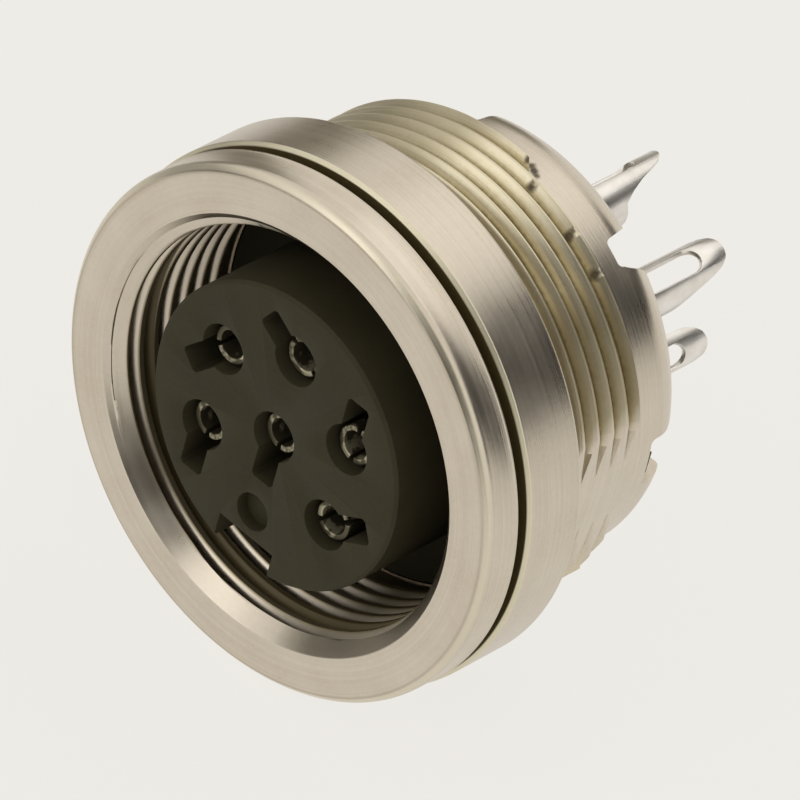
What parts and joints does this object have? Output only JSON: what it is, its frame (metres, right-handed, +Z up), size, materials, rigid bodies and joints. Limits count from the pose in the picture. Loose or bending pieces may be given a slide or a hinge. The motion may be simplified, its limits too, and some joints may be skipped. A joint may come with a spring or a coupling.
{
  "type": "circular connector socket",
  "caption": "Round panel socket with an internally threaded metal shell, a ring nut on its outer thread, a keyed black insert with socket contacts, and rolled solder lugs at the back.",
  "frame": {"origin": "on the axis, in the plane of the front ring's rear face, where the socket seats on a panel", "axes": "+Y along the axis towards the solder lugs, the mating face looks along -Y, +Z up, with the keyway at -Z and the flat of the panel thread at +X"},
  "size_m": [0.0202, 0.019, 0.0202],
  "materials": {
    "nickel_plate": "satin nickel plate over brass",
    "silver_plate": "bright silver plate over brass",
    "black_plastic": "matt moulded plastic"
  },
  "bodies": {
    "root": {"shell": "nickel_plate", "ring_nut": "nickel_plate", "insulator_front": "black_plastic", "insulator_rear": "black_plastic", "contact_1": "silver_plate", "contact_2": "silver_plate", "contact_3": "silver_plate", "contact_4": "silver_plate", "contact_5": "silver_plate", "contact_6": "silver_plate"}
  },
  "joints": []
}
